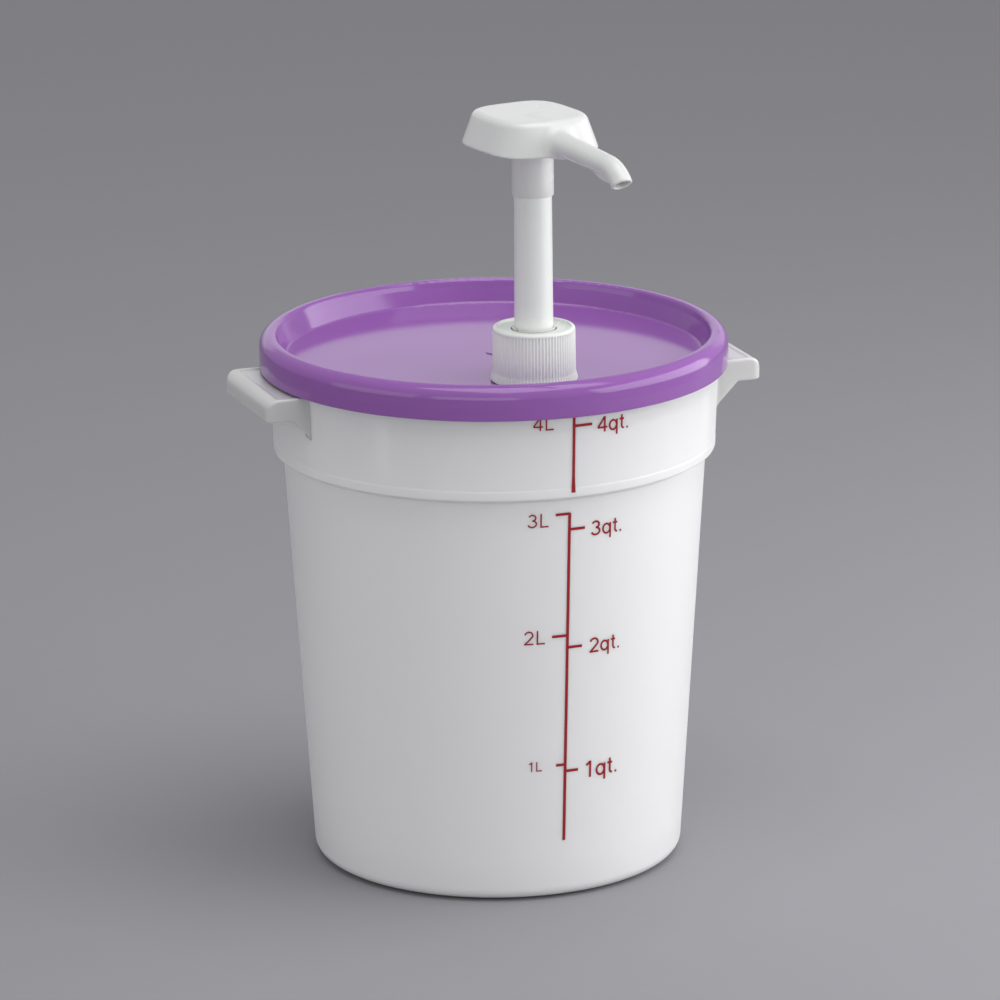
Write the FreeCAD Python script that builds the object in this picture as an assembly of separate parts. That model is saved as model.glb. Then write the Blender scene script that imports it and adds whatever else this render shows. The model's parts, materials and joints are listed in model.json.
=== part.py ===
"""Condiment pump dispenser: a round tub with a snap lid and a screw-on plunger pump.

Frame: millimetres, +Z up, origin on the tub's axis at the underside of its floor.
+X runs through the right hand grip. -Y faces the printed scale and the pump's side of the lid.
"""
import FreeCAD, Part
import math
import os
from FreeCAD import Vector

# ---------------------------------------------------------------- driving dimensions
# tub
BASE_R = 74.2            # outer wall, carried down to the floor's underside
WALL_SLOPE = 0.0632      # growth of the cone's radius per mm of height
BASE_ROUND = 5.2
INNER_BASE_ROUND = 3.7
WALL = 2.2
FLOOR = 2.6
CONE_TOP_Z = 167.6       # where the cone ends and the ledge out to the wider band starts
BAND_Z = 169.2           # lower edge of the band
STEP_ROUND = 1.0         # rounding at both ends of that ledge
STEP_RISE = 1.5          # how much higher the ledge is inside the wall than outside
BAND_R = 88.46
BAND_SLOPE = 0.045
RIM_TOP_Z = 213.8
RIM_R = 91.6             # bead that the lid snaps over
RIM_HEIGHT = 7.5
RIM_INNER_R = 88.8

# hand grips
GRIP_X = 103.6           # outer face
GRIP_LENGTH = 55.0
GRIP_SHIFT = 3.5         # each grip sits this far off the diameter, point-symmetric
GRIP_TOP_Z = 202.1
GRIP_DEPTH = 9.3
GRIP_WALL = 2.4
GRIP_SHOULDER = 5.5      # rounding of the long outer edge on top
GRIP_DISH = 0.5          # how far the top is sunk inside that edge
GRIP_CORNER = 4.0        # upright corners
GRIP_EDGE = 1.0
GUSSET_X = 93.0          # where the side web starts to slope back to the tub
GUSSET_BOTTOM_Z = 183.3
GUSSET_ROOT = 5.0        # the slope ends this far inside the band's outer face
GRIP_ROOT = 9.0          # the webs start this far inside it

# stacking ribs inside the band
RIB_ANGLE = 49.4         # from the -Y and +Y directions, degrees
RIB_WIDTH = 6.4
RIB_PROUD = 1.2
RIB_LOW_Z = 175.8
RIB_HIGH_Z = 201.8

# lid
LID_WALL = 1.8
SKIRT_R = 93.9
SKIRT_BOTTOM_Z = 202.5
CREST_Z = 216.0
CREST_INNER_R = 86.2
WELL_R = 83.4            # foot of the well's wall
PANEL_Z = 206.5          # upper face of the sunken panel
GATE_MARK_R = 3.0        # low disc at the panel's middle, left by the moulding
GATE_MARK_HEIGHT = 0.35

# pump, on its own axis
PUMP_Y = -46.0
NECK_R = 13.0
NECK_BORE_R = 11.45
NECK_TOP_Z = 221.4
THREAD_PITCH = 4.2
THREAD_TURNS = 1.6
THREAD_HEIGHT = 0.8
THREAD_ROOT_WIDTH = 1.9
THREAD_CREST_WIDTH = 1.1
THREAD_START = 4.2       # above the lid's panel
THREAD_PLAY = 0.4        # how much narrower the collar's thread is
THREAD_LAP = 0.2         # how far a thread is sunk into its wall
GASKET = 1.0
FLANGE = 1.6
FLANGE_R = 13.3          # clears the collar's thread as it rises
GUIDE_FLANGE = 1.1
GUIDE_BOTTOM_Z = 212.0
GUIDE_HUB = 0.7          # how far the hub stands above the collar's sunken top
GUIDE_NOTCH = 1.8
STEM_SEAL = 1.6
WASHER = 0.6

COLLAR_R = 16.5
COLLAR_FLARE_R = 17.2
COLLAR_BOTTOM_Z = 206.9
COLLAR_TOP_Z = 228.3
COLLAR_PLATE = 1.6
COLLAR_RIM_R = 14.6      # inner edge of the raised rim around the collar's top
COLLAR_BORE_R = 14.5
COLLAR_HOLE_R = 8.95
COLLAR_RIBS = 78
COLLAR_RIB_DEPTH = 0.45
COLLAR_RIB_START = 2.6   # above the collar's foot
COLLAR_RIB_END = 1.3     # below its top

BARREL_R = 11.2
BARREL_BORE_R = 9.8
STEM_R = 7.7             # inside the barrel
STEM_TOP_R = 7.47        # at the head
STEM_BORE_R = 4.4
STEM_TOP_Z = 295.7
SPIGOT_R = 6.5           # stem's lower end, inside the piston
PISTON_TOP_Z = 210.0
PISTON_HEIGHT = 10.0
PISTON_R = 9.2
PISTON_LAND = 2.0        # height of the piston at each side of its seal
PISTON_GROOVE = 1.2
PISTON_FLOOR = 3.0       # thickness under the stem, which the outlet ball closes
RUNNING = 0.06           # radial clearance of the sliding and turning fits
FIXED_FIT = 0.05         # radial clearance of the fits that don't move
INSERT_FIT = 0.08        # the same, for the inserts in the barrel
STROKE = 46.0

OUTLET_BALL_R = 3.2
OUTLET_HOLE_R = 2.6
INLET_BALL_R = 3.5
INLET_HOLE_R = 2.8
BALL_LIFT = 3.0
BALL_GAP = 0.1
BALL_STOP_GAP = 0.3      # between a lifted ball and its stop
OUTLET_STOP_R = 2.2      # hole in the stop over the outlet ball
OUTLET_STOP = 2.0
INLET_STOP_R = 1.4
INLET_STOP = 1.6
INLET_CHAMBER_R = 5.0
INLET_FLOOR = 2.5
SEAT_HEIGHT = 4.6        # of the spring's seat, above the barrel's ledge
FLOW_HOLE_R = 1.1
FLOW_HOLE_AT = 3.4       # from the pump's axis

SPRING_R = 8.1           # mean radius of the coils
SPRING_WIRE_R = 0.6
SPRING_TURNS = 9
SPRING_SHUT = 13.4       # length of the spring at the bottom of the stroke

DIP_TUBE_R = 4.5
DIP_TUBE_BORE_R = 3.0
DIP_TUBE_BOTTOM_Z = 5.6
SOCKET_DEPTH = 15.0
SOCKET_WALL = 2.0
TUBE_NOTCH = 2.4
TUBE_NOTCH_HEIGHT = 2.0

# head
HEAD_TURN = 10.0         # degrees from -Y towards +X that the spout points
SLEEVE_R = 8.25
SLEEVE_BOTTOM_Z = 281.0
HEAD_BOTTOM_Z = 300.4
HEAD_TOP_Z = 313.6
HEAD_WALL = 2.0
HEAD_TOP_HALF_LENGTH = 20.5
HEAD_TOP_HALF_WIDTH = 18.9
HEAD_MIDDLE = -2.0       # middle of the head's length, from the stem's axis towards the spout
HEAD_DRAFT = 4.2         # how much further out each wall is at its lower edge
HEAD_BOW = 3.4           # power of the bowed outline: 2 is an oval, a large one a rectangle
HEAD_EDGE = 1.8
HEAD_OUTLINE_POINTS = 32
STEM_END_GAP = 0.2       # above the stem, inside the sleeve

SPOUT_R = 4.1
SPOUT_BORE_R = 3.0
SPOUT_Z = 306.65         # centre line where it crosses the stem's axis
SPOUT_DROOP = 3.6        # degrees below level along the straight run
SPOUT_END = 52.7         # degrees below level at the mouth
SPOUT_BEND_R = 14.5
SPOUT_STRAIGHT = 56.3    # from the stem's axis to the bend
FIN_THICKNESS = 1.6

# ---------------------------------------------------------------- worked-out places
FLANGE_Z = NECK_TOP_Z + GASKET
GUIDE_FLANGE_Z = FLANGE_Z + FLANGE
WASHER_Z = GUIDE_FLANGE_Z + GUIDE_FLANGE
COLLAR_PLATE_Z = WASHER_Z + WASHER
HUB_TOP_Z = COLLAR_PLATE_Z + COLLAR_PLATE + GUIDE_HUB
SEAL_BOTTOM_Z = GUIDE_BOTTOM_Z - STEM_SEAL
PISTON_Z = PISTON_TOP_Z - PISTON_HEIGHT
SPRING_SEAT_Z = PISTON_Z - STROKE - SPRING_SHUT
BARREL_LEDGE_Z = SPRING_SEAT_Z - SEAT_HEIGHT
OUTLET_SEAT_Z = PISTON_Z + PISTON_FLOOR
INLET_SEAT_Z = BARREL_LEDGE_Z - 6.0
SOCKET_TOP_Z = INLET_SEAT_Z - INLET_FLOOR
PUMP_AXIS = Vector(0, PUMP_Y, 0)


# ---------------------------------------------------------------- shape helpers
def rounded_wire(corners, place):
    """A closed wire through corners (u, v, radius); place turns (u, v) into a point."""
    count = len(corners)
    runs = []
    for i in range(count):
        u, v, radius = corners[i]
        here = Vector(u, v, 0)
        before = (Vector(*corners[i - 1][:2], 0) - here).normalize()
        after = (Vector(*corners[(i + 1) % count][:2], 0) - here).normalize()
        if radius == 0:
            runs.append((here, None, here))
            continue
        half = before.getAngle(after) / 2
        setback = radius / math.tan(half)
        middle = (before + after).normalize() * (radius / math.sin(half) - radius)
        runs.append((here + before * setback, here + middle, here + after * setback))
    edges = []
    for i in range(count):
        start, middle, end = [None if p is None else place(p.x, p.y) for p in runs[i]]
        if middle is not None:
            edges.append(Part.Arc(start, middle, end).toShape())
        following = runs[(i + 1) % count][0]
        edges.append(Part.LineSegment(end, place(following.x, following.y)).toShape())
    return Part.Wire(edges)


def lathe(corners, centre=Vector(0, 0, 0)):
    """A solid of revolution about +Z from outline corners (r, z, rounding radius)."""
    face = Part.Face(rounded_wire(corners, lambda r, z: Vector(r, 0, z)))
    solid = face.revolve(Vector(0, 0, 0), Vector(0, 0, 1), 360)
    solid.translate(centre)
    return solid


def cylinder(radius, low_z, high_z, centre=PUMP_AXIS):
    return Part.makeCylinder(radius, high_z - low_z, centre + Vector(0, 0, low_z))


def ring(outer_r, inner_r, low_z, high_z, centre=PUMP_AXIS):
    return cylinder(outer_r, low_z, high_z, centre).cut(cylinder(inner_r, low_z - 1, high_z + 1, centre))


def prism(corners, place, direction):
    """A straight prism on a rounded outline."""
    return Part.Face(rounded_wire(corners, place)).extrude(direction)


def thread(root_r, crest_r, play, start_z):
    """A right-hand thread ridge about the pump's axis, between two radii, narrowed by the play."""
    root_width = THREAD_ROOT_WIDTH - play
    crest_width = THREAD_CREST_WIDTH - play / 2
    height = THREAD_PITCH * THREAD_TURNS
    helix = Part.makeHelix(THREAD_PITCH, height, root_r)
    section = Part.makePolygon([
        Vector(root_r, 0, -root_width / 2),
        Vector(crest_r, 0, -crest_width / 2),
        Vector(crest_r, 0, crest_width / 2),
        Vector(root_r, 0, root_width / 2),
        Vector(root_r, 0, -root_width / 2),
    ])
    ridge = Part.Wire(helix.Edges).makePipeShell([section], True, True)
    ridge.translate(PUMP_AXIS + Vector(0, 0, start_z))
    return ridge


def turned(shape, degrees, centre=PUMP_AXIS):
    copy = shape.copy()
    copy.rotate(centre, Vector(0, 0, 1), degrees)
    return copy


def wall_r(z):
    return BASE_R + WALL_SLOPE * z


def band_r(z):
    return BAND_R + BAND_SLOPE * (z - BAND_Z)


# ---------------------------------------------------------------- tub
def grip_block(inset):
    """The grip at +X as a full block, its sides and its shoulder moved in by the inset."""
    reach_in = BAND_R - GRIP_ROOT
    low_z = GUSSET_BOTTOM_Z - inset
    high_z = GRIP_TOP_Z - inset
    outer_x = GRIP_X - inset
    half = GRIP_LENGTH / 2 - inset
    corner = GRIP_CORNER - inset
    footprint = [
        (reach_in, -half, 0),
        (outer_x, -half, corner),
        (outer_x, half, corner),
        (reach_in, half, 0),
    ]
    profile = [
        (reach_in, low_z, 0),
        (outer_x, low_z, 0),
        (outer_x, high_z, GRIP_SHOULDER - inset),
        (reach_in, high_z, 0),
    ]
    plan = prism(footprint, lambda x, y: Vector(x, y, low_z), Vector(0, 0, high_z - low_z))
    side = prism(profile, lambda x, z: Vector(x, -half - 1, z), Vector(0, 2 * half + 2, 0))
    return plan.common(side)


def grip():
    """One hand grip at +X: a dished top, a shoulder, an outer wall and two webs with gussets."""
    reach_in = BAND_R - GRIP_ROOT
    bottom_z = GRIP_TOP_Z - GRIP_DEPTH
    half = GRIP_LENGTH / 2
    under = [
        (reach_in - 1, GUSSET_BOTTOM_Z, 0),
        (BAND_R - GUSSET_ROOT, GUSSET_BOTTOM_Z, 0),
        (GUSSET_X, bottom_z, GRIP_EDGE),
        (GRIP_X + 1, bottom_z, 0),
        (GRIP_X + 1, GUSSET_BOTTOM_Z - GRIP_WALL - 1, 0),
        (reach_in - 1, GUSSET_BOTTOM_Z - GRIP_WALL - 1, 0),
    ]
    below = prism(under, lambda x, z: Vector(x, -half - 1, z), Vector(0, GRIP_LENGTH + 2, 0))
    dish_x = GRIP_X - GRIP_SHOULDER
    dish_half = half - GRIP_WALL
    dish = Part.makeBox(dish_x - reach_in + 1, 2 * dish_half, 2 * GRIP_DISH,
                        Vector(reach_in - 1, -dish_half, GRIP_TOP_Z - GRIP_DISH))
    return grip_block(0).cut([grip_block(GRIP_WALL), below, dish])


def stacking_rib(angle):
    """A shallow upright rib on the band's inner face, at an angle from -Y."""
    inner = BAND_R - WALL - RIB_PROUD
    depth = RIB_PROUD + WALL
    rib = Part.makeBox(RIB_WIDTH, depth, RIB_HIGH_Z - RIB_LOW_Z,
                       Vector(-RIB_WIDTH / 2, -inner - depth, RIB_LOW_Z))
    return turned(rib, angle, Vector(0, 0, 0))


def container():
    rim_under_z = RIM_TOP_Z - RIM_HEIGHT
    outer = [
        (0, 0, 0),
        (BASE_R, 0, BASE_ROUND),
        (wall_r(CONE_TOP_Z), CONE_TOP_Z, STEP_ROUND),
        (BAND_R, BAND_Z, STEP_ROUND),
        (band_r(rim_under_z - 1), rim_under_z - 1, 0),
        (RIM_R, rim_under_z, 0.6),
        (RIM_R, RIM_TOP_Z, 1.2),
        (0, RIM_TOP_Z, 0),
    ]
    inner_base_r = BASE_R - WALL
    inner_cone_z = CONE_TOP_Z + STEP_RISE
    inner_band_z = BAND_Z + STEP_RISE
    inner = [
        (0, FLOOR, 0),
        (inner_base_r + WALL_SLOPE * FLOOR, FLOOR, INNER_BASE_ROUND),
        (wall_r(inner_cone_z) - WALL, inner_cone_z, STEP_ROUND),
        (band_r(inner_band_z) - WALL, inner_band_z, STEP_ROUND),
        (RIM_INNER_R, rim_under_z - 4, 0),
        (RIM_INNER_R, RIM_TOP_Z + 1, 0),
        (0, RIM_TOP_Z + 1, 0),
    ]
    body = lathe(outer)
    for side in (0, 180):
        one = grip()
        one.translate(Vector(0, -GRIP_SHIFT, 0))
        body = body.fuse(turned(one, side, Vector(0, 0, 0)))
    body = body.cut(lathe(inner))
    for front in (0, 180):
        for angle in (RIB_ANGLE, -RIB_ANGLE):
            body = body.fuse(stacking_rib(front + angle))
    return body.removeSplitter()


# ---------------------------------------------------------------- lid
def lid():
    """Snap lid: a channel over the tub's rim, a sunken panel and an upright threaded neck."""
    channel_z = RIM_TOP_Z
    outline = [
        (0, PANEL_Z, 0),
        (WELL_R, PANEL_Z, 1.2),
        (CREST_INNER_R, CREST_Z - 3.0, 0),
        (CREST_INNER_R + 0.9, CREST_Z, 1.6),
        (SKIRT_R - 0.2, CREST_Z, 5.0),
        (SKIRT_R, SKIRT_BOTTOM_Z + 5, 0),
        (SKIRT_R - 0.2, SKIRT_BOTTOM_Z, 0.5),
        (SKIRT_R - LID_WALL, SKIRT_BOTTOM_Z, 0.5),
        (SKIRT_R - LID_WALL, channel_z, 1.6),
        (CREST_INNER_R + LID_WALL + 0.4, channel_z, 0.5),
        (WELL_R + LID_WALL, PANEL_Z - LID_WALL, 1.5),
        (0, PANEL_Z - LID_WALL, 0),
    ]
    body = lathe(outline)
    neck = cylinder(NECK_R, PANEL_Z - LID_WALL / 2, NECK_TOP_Z)
    ridge = thread(NECK_R - THREAD_LAP, NECK_R + THREAD_HEIGHT, 0, PANEL_Z + THREAD_START)
    gate_mark = cylinder(GATE_MARK_R, PANEL_Z - LID_WALL / 2, PANEL_Z + GATE_MARK_HEIGHT, Vector(0, 0, 0))
    body = body.fuse([neck, ridge, gate_mark])
    return body.cut(cylinder(NECK_BORE_R, PANEL_Z - 10, NECK_TOP_Z + 10))


# ---------------------------------------------------------------- pump, fixed to the lid
def neck_gasket():
    return ring(NECK_R, BARREL_R + 0.1, NECK_TOP_Z, FLANGE_Z)


def pump_barrel():
    """Cylinder with a flange on the neck, an inlet valve seat and a socket for the dip tube."""
    socket_z = SOCKET_TOP_Z - SOCKET_DEPTH
    socket_r = DIP_TUBE_R + FIXED_FIT
    outline = [
        (socket_r, socket_z, 0),
        (DIP_TUBE_R + SOCKET_WALL, socket_z, 0.5),
        (DIP_TUBE_R + SOCKET_WALL + 0.2, INLET_SEAT_Z + 1.0, 1.0),
        (BARREL_R, BARREL_LEDGE_Z - 1.5, 2.0),
        (BARREL_R, FLANGE_Z, 0),
        (FLANGE_R, FLANGE_Z, 0.3),
        (FLANGE_R, FLANGE_Z + FLANGE, 0.3),
        (BARREL_BORE_R, FLANGE_Z + FLANGE, 0),
        (BARREL_BORE_R, BARREL_LEDGE_Z, 0),
        (INLET_CHAMBER_R, BARREL_LEDGE_Z, 0),
        (INLET_CHAMBER_R, INLET_SEAT_Z, 0),
        (INLET_HOLE_R, INLET_SEAT_Z, 0),
        (INLET_HOLE_R, SOCKET_TOP_Z, 0),
        (socket_r, SOCKET_TOP_Z, 0),
    ]
    return lathe(outline, PUMP_AXIS)


def stem_guide():
    """Guide bush in the barrel's mouth, with a hub that shows inside the collar's hole."""
    bore = STEM_R + RUNNING
    bush_r = BARREL_BORE_R - INSERT_FIT
    hub_r = COLLAR_HOLE_R - 0.35
    outline = [
        (bore, GUIDE_BOTTOM_Z, 0),
        (bush_r, GUIDE_BOTTOM_Z, 0),
        (bush_r, GUIDE_FLANGE_Z, 0),
        (FLANGE_R, GUIDE_FLANGE_Z, 0.2),
        (FLANGE_R, WASHER_Z, 0.2),
        (hub_r, WASHER_Z, 0),
        (hub_r, HUB_TOP_Z, 0.25),
        (bore, HUB_TOP_Z, 0),
    ]
    body = lathe(outline, PUMP_AXIS)
    notch = Part.makeBox(2 * COLLAR_HOLE_R, GUIDE_NOTCH, 1.0,
                         PUMP_AXIS + Vector(-COLLAR_HOLE_R, -GUIDE_NOTCH / 2, HUB_TOP_Z - 1.0))
    return body.cut(turned(notch, 20))


def stem_seal():
    return ring(BARREL_BORE_R - FIXED_FIT, STEM_R + RUNNING, SEAL_BOTTOM_Z, GUIDE_BOTTOM_Z)


def spring_seat():
    """Cage over the inlet ball: the return spring stands on it and the ball stops under it."""
    seat_r = BARREL_BORE_R - INSERT_FIT
    stop_z = SPRING_SEAT_Z - INLET_STOP
    outline = [
        (INLET_STOP_R, stop_z, 0),
        (INLET_CHAMBER_R, stop_z, 0),
        (INLET_CHAMBER_R, BARREL_LEDGE_Z, 0),
        (seat_r, BARREL_LEDGE_Z, 0),
        (seat_r, SPRING_SEAT_Z, 0),
        (INLET_STOP_R, SPRING_SEAT_Z, 0),
    ]
    body = lathe(outline, PUMP_AXIS)
    flow_hole = Part.makeCylinder(FLOW_HOLE_R, 2 * INLET_STOP,
                                  PUMP_AXIS + Vector(FLOW_HOLE_AT, 0, stop_z - 1.0))
    for angle in range(0, 360, 60):
        body = body.cut(turned(flow_hole, angle))
    return body


def dip_tube():
    """Straight tube to just above the floor, notched so that the floor can't close it."""
    body = ring(DIP_TUBE_R, DIP_TUBE_BORE_R, DIP_TUBE_BOTTOM_Z, SOCKET_TOP_Z - 0.1)
    notch = Part.makeBox(4 * DIP_TUBE_R, TUBE_NOTCH, TUBE_NOTCH_HEIGHT + 1.0,
                         PUMP_AXIS + Vector(-2 * DIP_TUBE_R, -TUBE_NOTCH / 2, DIP_TUBE_BOTTOM_Z - 1.0))
    for angle in (0, 90):
        body = body.cut(turned(notch, angle))
    return body


def return_spring():
    """Compression spring with a closed ring at each end."""
    low_z = SPRING_SEAT_Z + SPRING_WIRE_R
    high_z = PISTON_Z - SPRING_WIRE_R
    height = high_z - low_z
    helix = Part.makeHelix(height / SPRING_TURNS, height, SPRING_R)
    section = Part.Wire(Part.makeCircle(SPRING_WIRE_R, Vector(SPRING_R, 0, 0), Vector(0, 1, 0)))
    coil = Part.Wire(helix.Edges).makePipeShell([section], True, True)
    coil.translate(PUMP_AXIS + Vector(0, 0, low_z))
    ends = [Part.makeTorus(SPRING_R, SPRING_WIRE_R, PUMP_AXIS + Vector(0, 0, z)) for z in (low_z, high_z)]
    return coil.fuse(ends)


# ---------------------------------------------------------------- collar
def collar_washer():
    return ring(FLANGE_R, COLLAR_HOLE_R, WASHER_Z, COLLAR_PLATE_Z)


def collar():
    """Ribbed screw cap with a flared foot, a sunken top and a hole for the stem."""
    body = lathe([
        (COLLAR_HOLE_R, COLLAR_PLATE_Z, 0),
        (COLLAR_BORE_R, COLLAR_PLATE_Z, 0),
        (COLLAR_BORE_R, COLLAR_BOTTOM_Z, 0),
        (COLLAR_FLARE_R, COLLAR_BOTTOM_Z, 0.5),
        (COLLAR_FLARE_R - 0.1, COLLAR_BOTTOM_Z + 1.6, 0.5),
        (COLLAR_R, COLLAR_BOTTOM_Z + 3.0, 0),
        (COLLAR_R - 0.2, COLLAR_TOP_Z, 1.2),
        (COLLAR_RIM_R, COLLAR_TOP_Z, 0.4),
        (COLLAR_RIM_R - 0.3, COLLAR_PLATE_Z + COLLAR_PLATE, 0),
        (COLLAR_HOLE_R, COLLAR_PLATE_Z + COLLAR_PLATE, 0),
    ], PUMP_AXIS)
    groove_z = COLLAR_BOTTOM_Z + COLLAR_RIB_START
    groove = Part.makeCylinder(COLLAR_RIB_DEPTH, COLLAR_TOP_Z - COLLAR_RIB_END - groove_z,
                               PUMP_AXIS + Vector(COLLAR_R, 0, groove_z))
    pitch = 360 / COLLAR_RIBS
    grooves = [turned(groove, i * pitch) for i in range(COLLAR_RIBS)]
    body = body.cut(Part.makeCompound(grooves))
    ridge = thread(COLLAR_BORE_R + THREAD_LAP, COLLAR_BORE_R - THREAD_HEIGHT, THREAD_PLAY,
                   PANEL_Z + THREAD_START + THREAD_PITCH / 2)
    return body.fuse(ridge)


# ---------------------------------------------------------------- plunger
def piston_stem():
    """Hollow stem, slightly tapered where it shows, stepped down where the piston grips it."""
    return lathe([
        (STEM_BORE_R, OUTLET_SEAT_Z, 0),
        (SPIGOT_R, OUTLET_SEAT_Z, 0.3),
        (SPIGOT_R, PISTON_TOP_Z, 0),
        (STEM_R, PISTON_TOP_Z, 0),
        (STEM_R, COLLAR_PLATE_Z, 0),
        (STEM_TOP_R, SLEEVE_BOTTOM_Z - 1, 0),
        (STEM_TOP_R, STEM_TOP_Z, 0.4),
        (STEM_BORE_R, STEM_TOP_Z, 0),
    ], PUMP_AXIS)


def piston():
    """Piston on the stem's lower end, with the outlet valve's seat and a groove for the seal."""
    socket_r = SPIGOT_R + FIXED_FIT
    groove_r = PISTON_R - PISTON_GROOVE
    return lathe([
        (OUTLET_HOLE_R, PISTON_Z, 0),
        (PISTON_R, PISTON_Z, 0.4),
        (PISTON_R, PISTON_Z + PISTON_LAND, 0),
        (groove_r, PISTON_Z + PISTON_LAND, 0),
        (groove_r, PISTON_TOP_Z - PISTON_LAND, 0),
        (PISTON_R, PISTON_TOP_Z - PISTON_LAND, 0),
        (PISTON_R, PISTON_TOP_Z, 0.4),
        (socket_r, PISTON_TOP_Z, 0),
        (socket_r, OUTLET_SEAT_Z, 0),
        (OUTLET_HOLE_R, OUTLET_SEAT_Z, 0),
    ], PUMP_AXIS)


def piston_seal():
    """Rubber ring with two lips that run in the barrel."""
    inner = PISTON_R - PISTON_GROOVE
    lip = BARREL_BORE_R - FIXED_FIT
    low_z = PISTON_Z + PISTON_LAND
    high_z = PISTON_TOP_Z - PISTON_LAND
    return lathe([
        (inner, low_z, 0),
        (lip - 0.3, low_z, 0),
        (lip, low_z + 0.6, 0),
        (lip - 0.9, low_z + 2.4, 0.5),
        (lip - 0.9, high_z - 2.4, 0.5),
        (lip, high_z - 0.6, 0),
        (lip - 0.3, high_z, 0),
        (inner, high_z, 0),
    ], PUMP_AXIS)


def outlet_ball_cage():
    """Stop ring in the stem's bore, just above where the outlet ball can lift to."""
    low_z = outlet_ball_z() + OUTLET_BALL_R + BALL_LIFT + BALL_STOP_GAP
    return ring(STEM_BORE_R, OUTLET_STOP_R, low_z, low_z + OUTLET_STOP)


def ball_rest_z(seat_z, ball_r, hole_r):
    """Height of a ball's centre when it sits on the edge of its hole."""
    return seat_z + math.sqrt(ball_r ** 2 - hole_r ** 2) + BALL_GAP


def outlet_ball_z():
    return ball_rest_z(OUTLET_SEAT_Z, OUTLET_BALL_R, OUTLET_HOLE_R)


def outlet_ball():
    return Part.makeSphere(OUTLET_BALL_R, PUMP_AXIS + Vector(0, 0, outlet_ball_z()))


def inlet_ball():
    centre_z = ball_rest_z(INLET_SEAT_Z, INLET_BALL_R, INLET_HOLE_R)
    return Part.makeSphere(INLET_BALL_R, PUMP_AXIS + Vector(0, 0, centre_z))


# ---------------------------------------------------------------- head
def head_outline(inset, z):
    """The head's bowed outline at a height, moved in by the inset."""
    grow = (HEAD_TOP_Z - z) / (HEAD_TOP_Z - HEAD_BOTTOM_Z) * HEAD_DRAFT - inset
    half_length = HEAD_TOP_HALF_LENGTH + grow
    half_width = HEAD_TOP_HALF_WIDTH + grow
    points = []
    for i in range(HEAD_OUTLINE_POINTS):
        angle = 2 * math.pi * i / HEAD_OUTLINE_POINTS
        reach = (abs(math.cos(angle)) ** HEAD_BOW + abs(math.sin(angle)) ** HEAD_BOW) ** (-1 / HEAD_BOW)
        points.append(Vector(HEAD_MIDDLE + half_length * reach * math.cos(angle),
                             half_width * reach * math.sin(angle), z))
    curve = Part.BSplineCurve()
    curve.interpolate(Points=points, PeriodicFlag=True)
    return Part.Wire(curve.toShape())


def spout_path(end_extra):
    """The spout's centre line in the head's own frame, +X forwards; the mouth can be overrun."""
    droop = math.radians(SPOUT_DROOP)
    end = math.radians(SPOUT_END)
    start = Vector(0, 0, SPOUT_Z)
    bend_start = Vector(SPOUT_STRAIGHT, 0, SPOUT_Z - SPOUT_STRAIGHT * math.tan(droop))
    centre = bend_start - Vector(math.sin(droop), 0, math.cos(droop)) * SPOUT_BEND_R

    def on_bend(angle):
        return centre + Vector(math.sin(angle), 0, math.cos(angle)) * SPOUT_BEND_R

    mouth = on_bend(end)
    edges = [
        Part.LineSegment(start, bend_start).toShape(),
        Part.Arc(bend_start, on_bend((droop + end) / 2), mouth).toShape(),
    ]
    if end_extra:
        beyond = mouth + Vector(math.cos(end), 0, -math.sin(end)) * end_extra
        edges.append(Part.LineSegment(mouth, beyond).toShape())
    return Part.Wire(edges)


def spout_sweep(radius, end_extra=0):
    droop = math.radians(SPOUT_DROOP)
    direction = Vector(math.cos(droop), 0, -math.sin(droop))
    section = Part.Wire(Part.makeCircle(radius, Vector(0, 0, SPOUT_Z), direction))
    return spout_path(end_extra).makePipeShell([section], True, True)


def drip_fin():
    """Thin web under the spout's bend."""
    corners = [
        (SPOUT_STRAIGHT - 11.5, SPOUT_Z - 5.5, 0),
        (SPOUT_STRAIGHT - 9.5, SPOUT_Z - 7.9, 1.0),
        (SPOUT_STRAIGHT - 6.0, SPOUT_Z - 9.7, 2.0),
        (SPOUT_STRAIGHT + 7.0, SPOUT_Z - 10.5, 0),
        (SPOUT_STRAIGHT + 7.0, SPOUT_Z - 7.5, 0),
    ]
    return prism(corners, lambda s, z: Vector(s, -FIN_THICKNESS / 2, z), Vector(0, FIN_THICKNESS, 0))


def pump_head():
    """Press head with a long drooping spout and a sleeve that turns on the stem."""
    shell = Part.makeLoft([head_outline(0, HEAD_BOTTOM_Z), head_outline(0, HEAD_TOP_Z)], True, True)
    top_edges = [e for e in shell.Edges if e.BoundBox.ZMin > HEAD_TOP_Z - 0.01]
    shell = shell.makeFillet(HEAD_EDGE, top_edges)
    roof_z = HEAD_TOP_Z - HEAD_WALL
    hollow = Part.makeLoft([head_outline(HEAD_WALL, HEAD_BOTTOM_Z - 1), head_outline(HEAD_WALL, roof_z)],
                           True, True)
    centre = Vector(0, 0, 0)
    sleeve = cylinder(SLEEVE_R, SLEEVE_BOTTOM_Z, roof_z + 0.5, centre)
    body = shell.cut(hollow).fuse([sleeve, spout_sweep(SPOUT_R), drip_fin()])
    stem_socket = cylinder(STEM_TOP_R + RUNNING, SLEEVE_BOTTOM_Z - 1, STEM_TOP_Z + STEM_END_GAP, centre)
    riser = cylinder(STEM_BORE_R, STEM_TOP_Z, SPOUT_Z + SPOUT_BORE_R, centre)
    body = body.cut([stem_socket, riser, spout_sweep(SPOUT_BORE_R, 3.0)])
    body.rotate(centre, Vector(0, 0, 1), -90 + HEAD_TURN)
    body.translate(PUMP_AXIS)
    return body.removeSplitter()


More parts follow.
